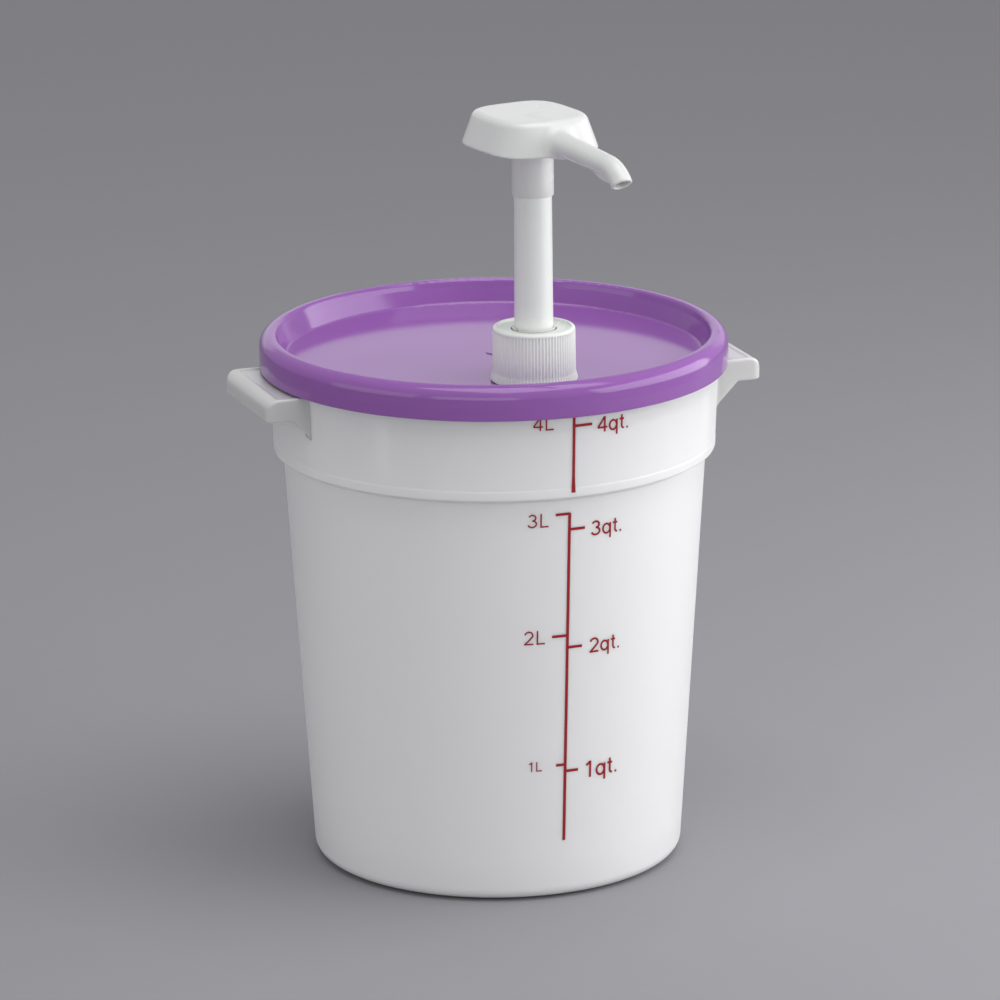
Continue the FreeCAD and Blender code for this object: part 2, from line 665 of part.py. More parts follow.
# ---------------------------------------------------------------- write the parts
SUB_PARTS = [
    container, lid, neck_gasket, pump_barrel, stem_guide, stem_seal, spring_seat, dip_tube,
    return_spring, collar_washer, collar, piston_stem, piston, piston_seal, outlet_ball_cage,
    outlet_ball, inlet_ball, pump_head,
]

os.makedirs("parts", exist_ok=True)
for make in SUB_PARTS:
    shape = make()
    if shape.ShapeType != "Solid" and len(shape.Solids) == 1:
        shape = shape.Solids[0]
    box = shape.BoundBox
    print(f"{make.__name__:18s} solids {len(shape.Solids)} valid {shape.isValid()} "
          f"volume {shape.Volume:10.1f} z {box.ZMin:7.2f} to {box.ZMax:7.2f}")
    shape.exportStep(f"parts/{make.__name__}.step")
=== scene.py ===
"""Looks of the condiment pump dispenser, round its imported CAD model.

Row frame: metres, +Z up, the tub's axis at the origin, -Y towards the printed scale.
Shapes are worked out in millimetres and scaled by MM when their mesh is made.
"""
import json
import math

import bmesh
import bpy
import numpy as np
from mathutils import Matrix, Vector


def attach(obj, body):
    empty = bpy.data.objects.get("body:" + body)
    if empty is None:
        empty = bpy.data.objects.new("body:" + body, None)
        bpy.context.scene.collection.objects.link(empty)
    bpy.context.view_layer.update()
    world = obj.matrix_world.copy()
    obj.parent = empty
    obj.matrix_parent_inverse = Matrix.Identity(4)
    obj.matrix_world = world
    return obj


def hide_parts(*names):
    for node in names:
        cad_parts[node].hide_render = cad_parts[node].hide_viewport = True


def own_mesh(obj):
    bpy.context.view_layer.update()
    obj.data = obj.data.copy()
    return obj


MM = 0.001

# ---------------------------------------------------------------- dimensions, mm
BASE_R = 74.2
WALL_SLOPE = 0.0632
WALL = 2.2
FLOOR = 2.6
BASE_ROUND = 5.2
INNER_BASE_ROUND = 3.7
FOOT_WIDTH = 8.0           # of the sloped ring between the flat underside and the wall
FOOT_ROUND = 3.0
FOOT_LOW_Z = 0.2
FOOT_RISE = 0.5
CONE_TOP_Z = 167.6
BAND_Z = 169.2
STEP_ROUND = 1.0
STEP_RISE = 1.5            # how much higher the ledge is inside the wall than outside
LIP_PROUD = 0.12
LIP_TOP_Z = 172.6
LIP_FALL = 0.5             # height in which the lip runs out into the band
LIP_EDGE = 0.2
BAND_R = 88.46
BAND_SLOPE = 0.045
RIM_TOP_Z = 213.8
RIM_R = 91.6
RIM_UNDER_Z = 206.3
RIM_INNER_R = 88.8
RIM_UNDER_EDGE = 0.6
RIM_OUTER_EDGE = 1.2
RIM_INNER_EDGE = 1.0
RIM_ROOT_Z = RIM_UNDER_Z - 1         # where the band ends under the rim
RIM_BORE_BOTTOM_Z = RIM_UNDER_Z - 4

RIB_ANGLES = (49.4, -49.4, 130.6, -130.6)   # from -Y, degrees
RIB_HALF_WIDTH = 3.2
RIB_PROUD = 1.2
RIB_LOW_Z = 175.8
RIB_HIGH_Z = 201.8
RIB_FLANK = 1.2
RIB_END = 1.0

GRIP_X = 103.6
GRIP_HALF_LENGTH = 27.5
GRIP_SHIFT = 3.5
GRIP_TOP_Z = 202.1
GRIP_BOTTOM_Z = 192.8
GRIP_WALL = 2.4
GRIP_SHOULDER = 5.5
GRIP_DISH = 0.5
GRIP_CORNER = 4.0
GRIP_MIDDLE_Z = 192.0
GRIP_HALF_HEIGHT = 14.0
GRIP_SKIRT = 4.0           # how far its fillet may run past its ends
GRIP_ROOT_DEPTH = 0.8      # how far its mesh runs into the band's wall
GRIP_TRIM = 0.06           # how far its mesh stays inside its solid
GUSSET_X = 93.0
GUSSET_ROOT_X = 83.5
GRIP_INSIDE_X = GUSSET_ROOT_X - 20
GUSSET_BOTTOM_Z = 183.3

PUMP_Y = -46.0
COLLAR_R = 16.5
COLLAR_FLARE_R = 17.2
COLLAR_BOTTOM_Z = 206.9
COLLAR_TOP_Z = 228.3
COLLAR_PLATE_Z = 225.7
COLLAR_PLATE_TOP_Z = 227.3
COLLAR_RIM_R = 14.6
COLLAR_BORE_R = 14.5
COLLAR_HOLE_R = 8.95
COLLAR_RIBS = 78
COLLAR_RIB_DEPTH = 0.45
COLLAR_RIB_POWER = 1.6     # of the grooves' profile between rounded ribs
COLLAR_RIB_END = 0.6
COLLAR_SKIN = 0.6          # how near the outside a point is shaped by the ribs
COLLAR_FOOT_Z = COLLAR_BOTTOM_Z + 0.9
COLLAR_FLARE_Z = COLLAR_BOTTOM_Z + 3.4
COLLAR_TAPER = 0.2
COLLAR_RIM_SLOPE = 0.3
COLLAR_SHOULDER = 1.2      # roundings of its edges
COLLAR_RIM_EDGE = 0.4
COLLAR_EDGE = 0.3
COLLAR_FOOT_EDGE = 0.2
THREAD_PITCH = 4.2
THREAD_TURNS = 1.6
THREAD_START_Z = 212.8
THREAD_HEIGHT = 0.8
THREAD_HALF_WIDTH = 0.7
THREAD_FLANK = 0.4
THREAD_RUNOUT = 0.5

SPRING_SEAT_Z = 140.6
SPRING_TOP_Z = 200.0
SPRING_R = 8.1
SPRING_WIRE_R = 0.6
SPRING_TURNS = 9           # open turns, between one closed turn at each end
SPRING_CLOSED_PITCH = 1.25
SPRING_TURN_STEPS = 48
SPRING_WIRE_SIDES = 12

HEAD_TURN = 10.0
SLEEVE_R = 8.25
SLEEVE_BOTTOM_Z = 281.0
SLEEVE_EDGE = 0.2
STEM_SOCKET_R = 7.53
STEM_TOP_Z = 295.9
STEM_BORE_R = 4.4
HEAD_BOTTOM_Z = 300.4
HEAD_TOP_Z = 313.6
HEAD_WALL = 2.0
HEAD_TOP_HALF_LENGTH = 20.5
HEAD_TOP_HALF_WIDTH = 18.9
HEAD_MIDDLE = -2.0
HEAD_DRAFT = 4.2
HEAD_BOW = 3.4           # power of the bowed outline
HEAD_EDGE = 2.4
SPOUT_ROOT_R = 4.7
SPOUT_TIP_R = 4.05
SPOUT_BORE_R = 3.0
SPOUT_BLEND = 5.0
SPOUT_Z = 306.65
SPOUT_DROOP = math.radians(3.6)
SPOUT_END = math.radians(52.7)
SPOUT_BEND_R = 14.5
SPOUT_STRAIGHT = 56.3
FIN_HALF_THICKNESS = 0.8
FIN_LOW_Z = 296.4
FIN_LOW_S = 57.0         # where the fin's lower edge levels out
FIN_RISE = 0.021         # how fast that edge rises towards the stem
FIN_BEHIND = 12.5        # the fin's reach behind and ahead of that place
FIN_AHEAD = 6.0
FIN_UNDER_SPOUT = 5.5    # its top, below the spout's middle line
SPOUT_START = STEM_BORE_R + 1.0

# how far edges are rounded and joins are blended
HEAD_FOOT_EDGE = 0.6
HOLLOW_CORNER = 1.0
HEAD_JOIN = 0.5
FIN_EDGE = 0.5
FIN_FOOT_EDGE = 0.6
MOUTH_EDGE = 0.4
BORE_EDGE = 0.3
GRIP_EDGE = 0.7
GRIP_FILLET = 1.4
DISH_EDGE = 0.3
DISH_CORNER = 1.5

HEAD_STEP = 0.55         # grid of the head's and the grips' surfaces
GRIP_STEP = 0.6
SURFACE_PULLS = 3        # times their points are moved onto the true surface
LEAST_SLOPE = 0.1        # floors that keep divisions safe far from a surface
LEAST_SIZE = 0.1
LEAST_STEEPNESS = 0.03
BOX_MARGIN = 2           # room round those surfaces inside their grids
GRIP_BOX_MARGIN = 6
GRIP_BOX_INSIDE = 8.0
GRIP_BOX_BELOW = 10
MOUTH_BOX_BELOW = 8      # from the fin's foot to under the spout's mouth
MOUTH_BOX_AHEAD = 18     # from the spout's bend to past its mouth
TUB_SEGMENTS = 384
COLLAR_SEGMENTS = COLLAR_RIBS * 10
SLEEVE_SEGMENTS = 128
TUB_SIDE = 12.0          # longest side of each lathed outline
COLLAR_SIDE = 0.6
SLEEVE_SIDE = 4.0
ON_AXIS_R = 1e-6
SAME_POINT = 0.001
SAME_R = 0.1

PUMP_AXIS = Vector((0, PUMP_Y, 0))


def wall_r(z):
    return BASE_R + WALL_SLOPE * z


def band_r(z):
    return BAND_R + BAND_SLOPE * (z - BAND_Z)


# ---------------------------------------------------------------- meshes
def make_object(name, points, faces):
    """A smooth mesh object from points in millimetres."""
    mesh = bpy.data.meshes.new(name)
    mesh.from_pydata((np.asarray(points, float) * MM).tolist(), [], faces)
    mesh.validate()
    mesh.shade_smooth()
    piece = bpy.data.objects.new(name, mesh)
    bpy.context.scene.collection.objects.link(piece)
    return piece


def rounded(corners, steps=6):
    """A closed outline through corners (u, v, radius), as a list of points."""
    points = []
    count = len(corners)
    for i in range(count):
        u, v, radius = corners[i]
        here = Vector((u, v))
        if radius == 0:
            points.append(here)
            continue
        before = (Vector(corners[i - 1][:2]) - here).normalized()
        after = (Vector(corners[(i + 1) % count][:2]) - here).normalized()
        half = before.angle(after) / 2
        setback = radius / math.tan(half)
        start = here + before * setback
        end = here + after * setback
        centre = here + (before + after).normalized() * (radius / math.sin(half))
        sweep = math.pi - 2 * half
        for step in range(steps + 1):
            share = step / steps
            arm = (start - centre) * math.sin((1 - share) * sweep)
            arm = arm + (end - centre) * math.sin(share * sweep)
            points.append(centre + arm / math.sin(sweep))
    return points


def split_long(points, longest):
    """The closed outline with points added so that no side is longer than the longest."""
    result = []
    for here, following in zip(points, points[1:] + points[:1]):
        parts = max(1, math.ceil((following - here).length / longest))
        result += [here.lerp(following, part / parts) for part in range(parts)]
    return result


def lathe(name, outline, segments, centre=Vector((0, 0, 0)), radius_at=None):
    """Revolves a closed outline (r, z) that runs anticlockwise; radius_at(r, z, angles) may shape it."""
    angles = np.arange(segments) * 2 * np.pi / segments
    rows = []
    for r, z in outline:
        ring = np.full(segments, float(r)) if radius_at is None else radius_at(r, z, angles)
        rows.append(np.stack([centre.x + ring * np.sin(angles), centre.y - ring * np.cos(angles),
                              np.full(segments, float(z))], axis=1))
    points = np.concatenate(rows)
    count = len(outline)
    faces = []
    for i in range(count):
        following = (i + 1) % count
        if outline[i][0] < ON_AXIS_R and outline[following][0] < ON_AXIS_R:
            continue
        for j in range(segments):
            beside = (j + 1) % segments
            faces.append((i * segments + j, i * segments + beside,
                          following * segments + beside, following * segments + j))
    piece = make_object(name, points, faces)
    merge_poles(piece)
    return piece


def merge_poles(piece):
    """Joins the points that meet on an axis."""
    net = bmesh.new()
    net.from_mesh(piece.data)
    bmesh.ops.remove_doubles(net, verts=net.verts, dist=SAME_POINT * MM)
    net.to_mesh(piece.data)
    net.free()


def surface_net(name, field, low, high, step, place):
    """A mesh of the field's zero surface inside a box; place turns its points into the row frame."""
    axes = [np.arange(a, b + step, step) for a, b in zip(low, high)]
    value = field(*np.meshgrid(*axes, indexing="ij"))
    cells = tuple(n - 1 for n in value.shape)
    sums = np.zeros((*cells, 3))
    counts = np.zeros(cells)
    quads = []
    for axis in range(3):
        near = np.take(value, range(value.shape[axis] - 1), axis)
        far = np.take(value, range(1, value.shape[axis]), axis)
        edges = np.argwhere((near < 0) != (far < 0))
        at = tuple(edges.T)
        crossing = edges.astype(float)
        crossing[:, axis] += near[at] / (near[at] - far[at])
        first, second = [a for a in range(3) if a != axis]
        corners = []
        for back_first, back_second in ((1, 1), (0, 1), (0, 0), (1, 0)):
            cell = edges.copy()
            cell[:, first] -= back_first
            cell[:, second] -= back_second
            np.add.at(sums, tuple(cell.T), crossing)
            np.add.at(counts, tuple(cell.T), 1)
            corners.append(cell)
        turned_round = (near[at] < 0) == (axis == 1)
        quads.append((corners, turned_round))
    used = counts > 0
    numbers = np.full(cells, -1)
    numbers[used] = np.arange(used.sum())
    points = np.array(low) + sums[used] / counts[used][:, None] * step
    faces = []
    for corners, turned_round in quads:
        quad = np.stack([numbers[tuple(c.T)] for c in corners], axis=1)
        quad[turned_round] = quad[turned_round][:, ::-1]
        faces += quad.tolist()
    for _ in range(SURFACE_PULLS):
        points -= np.clip(pull(field, points), -step / 2, step / 2)
    return make_object(name, place(points), faces)


def pull(field, points, reach=0.02):
    """How far each point is from the field's zero surface, as a vector along the field's slope."""
    value = field(*points.T)
    slope = np.stack([
        (field(*(points + step).T) - field(*(points - step).T)) / (2 * reach)
        for step in np.eye(3) * reach
    ], axis=1)
    return slope * (value / np.maximum((slope ** 2).sum(axis=1), LEAST_SLOPE))[:, None]


# ---------------------------------------------------------------- distance fields, mm
def smooth_min(a, b, blend):
    share = np.clip(0.5 + 0.5 * (b - a) / blend, 0, 1)
    return b + (a - b) * share - blend * share * (1 - share)


def smooth_max(a, b, blend):
    return -smooth_min(-a, -b, blend)


def rectangle(x, y, low_x, high_x, half_y, radius):
    """Distance to a rounded rectangle in the plane."""
    over_x = np.abs(x - (low_x + high_x) / 2) - (high_x - low_x) / 2 + radius
    over_y = np.abs(y) - half_y + radius
    outside = np.hypot(np.maximum(over_x, 0), np.maximum(over_y, 0))
    return outside + np.minimum(np.maximum(over_x, over_y), 0) - radius


def slab(value, low, high):
    """Distance to the part of space where value is from low to high."""
    return np.maximum(low - value, value - high)


def spout_line(s, w, z):
    """Distance from the spout's centre line, and height past the mouth's plane."""
    straight = SPOUT_STRAIGHT / math.cos(SPOUT_DROOP)
    run_s, run_z = math.cos(SPOUT_DROOP), -math.sin(SPOUT_DROOP)
    along = np.clip(s * run_s + (z - SPOUT_Z) * run_z, 0, straight)
    to_run = np.hypot(s - along * run_s, z - SPOUT_Z - along * run_z)
    centre_s = straight * run_s + run_z * SPOUT_BEND_R
    centre_z = SPOUT_Z + straight * run_z - run_s * SPOUT_BEND_R
    angle = np.clip(np.arctan2(s - centre_s, z - centre_z), SPOUT_DROOP, SPOUT_END)
    to_bend = np.hypot(s - centre_s - SPOUT_BEND_R * np.sin(angle),
                       z - centre_z - SPOUT_BEND_R * np.cos(angle))
    mouth_s = centre_s + SPOUT_BEND_R * math.sin(SPOUT_END)
    mouth_z = centre_z + SPOUT_BEND_R * math.cos(SPOUT_END)
    past = (s - mouth_s) * math.cos(SPOUT_END) - (z - mouth_z) * math.sin(SPOUT_END)
    beside = (s - mouth_s) * math.sin(SPOUT_END) + (z - mouth_z) * math.cos(SPOUT_END)
    to_end = np.hypot(beside, np.minimum(past, 0))
    in_plane = np.minimum(np.minimum(to_run, to_bend), to_end)
    return np.hypot(in_plane, w), past


def head_walls(s, w, z, inset):
    """Distance to the head's bowed and drafted wall, moved in by the inset."""
    grow = (HEAD_TOP_Z - z) / (HEAD_TOP_Z - HEAD_BOTTOM_Z) * HEAD_DRAFT - inset
    half_length = HEAD_TOP_HALF_LENGTH + grow
    half_width = HEAD_TOP_HALF_WIDTH + grow
    along = np.abs(s - HEAD_MIDDLE) / half_length
    across = np.abs(w) / half_width
    size = np.maximum((along ** HEAD_BOW + across ** HEAD_BOW) ** (1 / HEAD_BOW), LEAST_SIZE)
    steepness = size ** (1 - HEAD_BOW) * np.hypot(along ** (HEAD_BOW - 1) / half_length,
                                                  across ** (HEAD_BOW - 1) / half_width)
    lean = math.cos(math.atan2(HEAD_DRAFT, HEAD_TOP_Z - HEAD_BOTTOM_Z))
    return lean * (size - 1) / np.maximum(steepness, LEAST_STEEPNESS)


def fin(s, w, z):
    """Distance to the thin web under the spout's bend."""
    low = FIN_LOW_Z + FIN_RISE * np.maximum(FIN_LOW_S - s, 0) ** 2
    web = smooth_max(np.abs(w) - FIN_HALF_THICKNESS,
                     slab(s, FIN_LOW_S - FIN_BEHIND, FIN_LOW_S + FIN_AHEAD), FIN_EDGE)
    return smooth_max(web, slab(z, low, SPOUT_Z - FIN_UNDER_SPOUT), FIN_FOOT_EDGE)


def head_field(s, w, z):
    """The press head without its sleeve, in its own frame: s forwards, w sideways."""
    outside = smooth_max(head_walls(s, w, z, 0), z - HEAD_TOP_Z, HEAD_EDGE)
    outside = smooth_max(outside, HEAD_BOTTOM_Z - z, HEAD_FOOT_EDGE)
    line, past = spout_line(s, w, z)
    front = HEAD_MIDDLE + HEAD_TOP_HALF_LENGTH
    taper = np.clip((s - front) / (SPOUT_STRAIGHT - front), 0, 1)
    spout = smooth_max(line - SPOUT_ROOT_R - (SPOUT_TIP_R - SPOUT_ROOT_R) * taper, past, MOUTH_EDGE)
    spout = np.maximum(spout, SPOUT_START - s)
    body = smooth_min(outside, spout, SPOUT_BLEND)
    hollow = smooth_max(head_walls(s, w, z, HEAD_WALL), z - HEAD_TOP_Z + HEAD_WALL, HOLLOW_CORNER)
    body = smooth_min(smooth_max(body, -hollow, HEAD_JOIN), spout, HEAD_JOIN)
    body = smooth_min(body, fin(s, w, z), HEAD_JOIN)
    return smooth_max(body, SPOUT_BORE_R - line, BORE_EDGE)


def grip_block(x, y, z, inset):
    """Distance to the grip's full block with its long rounded shoulder, moved in by the inset."""
    plan = rectangle(x, y, GRIP_INSIDE_X, GRIP_X, GRIP_HALF_LENGTH, GRIP_CORNER)
    over_x = x - GRIP_X + GRIP_SHOULDER
    over_z = z - GRIP_TOP_Z + GRIP_SHOULDER
    corner = np.hypot(np.maximum(over_x, 0), np.maximum(over_z, 0))
    shoulder = corner + np.minimum(np.maximum(over_x, over_z), 0) - GRIP_SHOULDER
    return smooth_max(plan + inset, shoulder + inset, GRIP_EDGE)


def grip_field(x, y, z):
    """The hand grip at +X, with a fillet where it meets the band; y is from the grip's middle."""
    slope = (GRIP_BOTTOM_Z - GUSSET_BOTTOM_Z) / (GUSSET_X - GUSSET_ROOT_X)
    under = np.minimum(GRIP_BOTTOM_Z, GUSSET_BOTTOM_Z + slope * (x - GUSSET_ROOT_X))
    body = smooth_max(grip_block(x, y, z, 0), under - z, GRIP_EDGE)
    body = smooth_max(body, -grip_block(x, y, z, GRIP_WALL), GRIP_EDGE)
    dish_plan = rectangle(x, y, GRIP_INSIDE_X, GRIP_X - GRIP_SHOULDER,
                          GRIP_HALF_LENGTH - GRIP_WALL, DISH_CORNER)
    dish = smooth_max(dish_plan, GRIP_TOP_Z - GRIP_DISH - z, DISH_EDGE)
    body = smooth_max(body, -dish, DISH_EDGE)
    from_wall = np.hypot(x, y - GRIP_SHIFT) - band_r(z)
    body = smooth_min(body, from_wall, GRIP_FILLET) + GRIP_TRIM
    reach = GRIP_HALF_LENGTH + GRIP_SKIRT
    near = rectangle(y, z - GRIP_MIDDLE_Z, -reach, reach, GRIP_HALF_HEIGHT, GRIP_SKIRT)
    return np.maximum(np.maximum(body, -GRIP_ROOT_DEPTH - from_wall), near)


# ---------------------------------------------------------------- pieces
TUB_OUTSIDE = [
    (BASE_R - FOOT_WIDTH, FOOT_RISE, 0),
    (BASE_R, FOOT_LOW_Z, BASE_ROUND),
    (wall_r(CONE_TOP_Z), CONE_TOP_Z, STEP_ROUND),
    (band_r(BAND_Z) + LIP_PROUD, BAND_Z, STEP_ROUND),
    (band_r(LIP_TOP_Z) + LIP_PROUD, LIP_TOP_Z, LIP_EDGE),
    (band_r(LIP_TOP_Z + LIP_FALL), LIP_TOP_Z + LIP_FALL, LIP_EDGE),
    (band_r(RIM_ROOT_Z), RIM_ROOT_Z, 0),
]


def make_tub():
    """The tub's wall, band, rim and floor; four ribs stand proud of the band's inner face."""
    inner_band_z = BAND_Z + STEP_RISE
    inner_cone_z = CONE_TOP_Z + STEP_RISE
    outline = [
        (0, 0, 0),
        (BASE_R - FOOT_WIDTH - 1.0, 0, FOOT_ROUND),
        *TUB_OUTSIDE,
        (RIM_R, RIM_UNDER_Z, RIM_UNDER_EDGE),
        (RIM_R, RIM_TOP_Z, RIM_OUTER_EDGE),
        (RIM_INNER_R, RIM_TOP_Z, RIM_INNER_EDGE),
        (RIM_INNER_R, RIM_BORE_BOTTOM_Z, 0),
        (band_r(inner_band_z) - WALL, inner_band_z, STEP_ROUND),
        (wall_r(inner_cone_z) - WALL, inner_cone_z, STEP_ROUND),
        (BASE_R - WALL, FLOOR, INNER_BASE_ROUND),
        (0, FLOOR, 0),
    ]

    def radius_at(r, z, angles):
        ring = np.full(len(angles), float(r))
        beside_ribs = RIB_LOW_Z - RIB_END < z < RIB_HIGH_Z + RIB_END
        if r > min(RIM_INNER_R - SAME_R, band_r(z) - WALL / 2) or not beside_ribs:
            return ring
        for degrees in RIB_ANGLES:
            off = np.abs((angles - math.radians(degrees) + np.pi) % (2 * np.pi) - np.pi) * r
            ring -= RIB_PROUD * np.clip((RIB_HALF_WIDTH + RIB_FLANK / 2 - off) / RIB_FLANK, 0, 1)
        return ring

    points = split_long(rounded(outline), TUB_SIDE)
    piece = lathe("tub_shell", points, TUB_SEGMENTS, radius_at=radius_at)
    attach(piece, "tub")
    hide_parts("container")
    return piece


def make_grip(name, side):
    """A hand grip; side is 1 at +X and -1 at -X, which is the same grip turned half round."""
    def place(points):
        return (points + [0, -GRIP_SHIFT, 0]) * [side, side, 1]

    half_length = GRIP_HALF_LENGTH + GRIP_BOX_MARGIN
    low = (GUSSET_ROOT_X - GRIP_BOX_INSIDE, -half_length, GUSSET_BOTTOM_Z - GRIP_BOX_BELOW)
    high = (GRIP_X + BOX_MARGIN, half_length, GRIP_TOP_Z + GRIP_BOX_MARGIN)
    piece = surface_net(name, grip_field, low, high, GRIP_STEP, place)
    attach(piece, "tub")
    return piece


def make_collar():
    """The screw cap: rounded ribs outside, its thread inside."""
    outline = [
        (COLLAR_HOLE_R, COLLAR_PLATE_Z, 0),
        (COLLAR_BORE_R, COLLAR_PLATE_Z, 0),
        (COLLAR_BORE_R, COLLAR_BOTTOM_Z, COLLAR_EDGE),
        (COLLAR_FLARE_R, COLLAR_BOTTOM_Z, COLLAR_FOOT_EDGE),
        (COLLAR_FLARE_R, COLLAR_FOOT_Z, COLLAR_EDGE),
        (COLLAR_R, COLLAR_FLARE_Z, COLLAR_SHOULDER),
        (COLLAR_R - COLLAR_TAPER, COLLAR_TOP_Z, COLLAR_SHOULDER),
        (COLLAR_RIM_R, COLLAR_TOP_Z, COLLAR_RIM_EDGE),
        (COLLAR_RIM_R - COLLAR_RIM_SLOPE, COLLAR_PLATE_TOP_Z, COLLAR_EDGE),
        (COLLAR_HOLE_R, COLLAR_PLATE_TOP_Z, COLLAR_EDGE),
    ]
    ribs_high = COLLAR_TOP_Z - COLLAR_SHOULDER
    thread_low = THREAD_START_Z + THREAD_PITCH / 2

    def radius_at(r, z, angles):
        ring = np.full(len(angles), float(r))
        if r > COLLAR_R - COLLAR_SKIN:
            from_end = min(z - COLLAR_BOTTOM_Z, ribs_high - z)
            fade = np.clip(from_end / COLLAR_RIB_END, 0, 1)
            groove = np.abs(np.cos(angles * COLLAR_RIBS / 2)) ** COLLAR_RIB_POWER
            ring -= COLLAR_RIB_DEPTH * fade * groove
        elif abs(r - COLLAR_BORE_R) < SAME_R / 2 and z < COLLAR_PLATE_Z - THREAD_RUNOUT:
            turn = (angles - math.pi / 2) / (2 * math.pi)
            for lap in range(-1, math.ceil(THREAD_TURNS) + 1):
                along = turn + lap
                off = np.abs(z - thread_low - along * THREAD_PITCH)
                inside = (along > 0) & (along < THREAD_TURNS)
                flank = (THREAD_HALF_WIDTH + THREAD_FLANK / 2 - off) / THREAD_FLANK
                ring -= inside * THREAD_HEIGHT * np.clip(flank, 0, 1)
        return ring

    points = split_long(rounded(outline, 4), COLLAR_SIDE)
    piece = lathe("collar_shell", points, COLLAR_SEGMENTS, PUMP_AXIS, radius_at)
    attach(piece, "screw_collar")
    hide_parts("collar")
    return piece


def make_spring():
    """The return spring: a round wire on the barrel's seat."""
    turns = SPRING_TURNS + 2
    rise = SPRING_TOP_Z - SPRING_SEAT_Z - 2 * SPRING_WIRE_R
    along = np.linspace(0, turns, turns * SPRING_TURN_STEPS + 1)
    height = np.interp(along, [0, 1, turns - 1, turns],
                       [0, SPRING_CLOSED_PITCH, rise - SPRING_CLOSED_PITCH, rise])
    turn = 2 * np.pi * along[:, None]
    around = 2 * np.pi * np.arange(SPRING_WIRE_SIDES) / SPRING_WIRE_SIDES
    r = SPRING_R + SPRING_WIRE_R * np.cos(around)
    z = SPRING_SEAT_Z + SPRING_WIRE_R + height[:, None] + SPRING_WIRE_R * np.sin(around)
    points = np.stack([r * np.cos(turn), r * np.sin(turn) + PUMP_Y, z], axis=2).reshape(-1, 3)
    sides = SPRING_WIRE_SIDES
    faces = [tuple(range(sides)), tuple(range(len(points) - 1, len(points) - sides - 1, -1))]
    for i in range(len(along) - 1):
        for j in range(sides):
            beside = (j + 1) % sides
            faces.append((i * sides + beside, i * sides + j,
                          (i + 1) * sides + j, (i + 1) * sides + beside))
    piece = make_object("spring_wire", points, faces)
    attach(piece, "lid_and_barrel")
    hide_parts("return_spring")
    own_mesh(piece)
    return piece


def make_sleeve():
    """The part of the head's moulding that turns on the stem."""
    outline = [
        (STEM_SOCKET_R, SLEEVE_BOTTOM_Z, 0),
        (SLEEVE_R, SLEEVE_BOTTOM_Z, SLEEVE_EDGE),
        (SLEEVE_R, HEAD_TOP_Z - HEAD_WALL, 0),
        (STEM_BORE_R, HEAD_TOP_Z - HEAD_WALL, 0),
        (STEM_BORE_R, STEM_TOP_Z, 0),
        (STEM_SOCKET_R, STEM_TOP_Z, 0),
    ]
    points = split_long(rounded(outline, 3), SLEEVE_SIDE)
    piece = lathe("head_sleeve", points, SLEEVE_SEGMENTS, PUMP_AXIS)
    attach(piece, "head")
    return piece


def make_head():
    """The press head with its spout."""
    turn = math.radians(HEAD_TURN - 90)

    def place(points):
        s, w, z = points.T
        x = s * math.cos(turn) - w * math.sin(turn)
        y = s * math.sin(turn) + w * math.cos(turn) + PUMP_Y
        return np.stack([x, y, z], axis=1)

    reach_back = HEAD_TOP_HALF_LENGTH - HEAD_MIDDLE + HEAD_DRAFT + BOX_MARGIN
    reach_side = HEAD_TOP_HALF_WIDTH + HEAD_DRAFT + BOX_MARGIN
    low = (-reach_back, -reach_side, FIN_LOW_Z - MOUTH_BOX_BELOW)
    high = (SPOUT_STRAIGHT + MOUTH_BOX_AHEAD, reach_side, HEAD_TOP_Z + BOX_MARGIN)
    piece = surface_net("head_shell", head_field, low, high, HEAD_STEP, place)
    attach(piece, "head")
    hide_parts("pump_head")
    return piece


# ---------------------------------------------------------------- printed scale
INK_LIFT = 0.06          # from the wall to the ink's outer face
INK_STEP = 1.5           # longest straight piece of a stroke

# lines up the wall: (z, width) from the lower end to the upper
LINES = [
    [(24.7, 1.2), (161.8, 1.2)],
    [(171.1, 1.7), (178.0, 1.15), (201.5, 1.1)],
]
# ticks: z, arc length from the line, positive to the right
TICKS = [
    (161.5, -5.7), (111.0, -6.4), (56.8, -3.8),
    (198.2, 7.6), (155.0, 6.6), (106.0, 6.3), (54.0, 5.6),
]
TICK_HEIGHT = 1.1
# labels: text, arc length from the line to the middle, middle z, height of a figure, stroke width
LABELS = [
    ("4L", -12.2, 200.0, 5.6, 0.60), ("3L", -12.6, 159.5, 5.7, 0.60),
    ("2L", -13.3, 111.1, 5.8, 0.60), ("1L", -12.4, 56.9, 4.0, 0.48),
    ("4qt.", 17.2, 197.5, 6.2, 0.78), ("3qt.", 16.5, 154.2, 6.2, 0.78),
    ("2qt.", 16.7, 105.5, 6.2, 0.78), ("1qt.", 16.0, 53.4, 6.9, 0.92),
]


def arc(centre_u, centre_v, radius_u, radius_v, start, end, parts=12):
    """Points along an oval arc between two angles in degrees."""
    angles = np.radians(np.linspace(start, end, parts + 1))
    return [(centre_u + radius_u * math.cos(a), centre_v + radius_v * math.sin(a)) for a in angles]


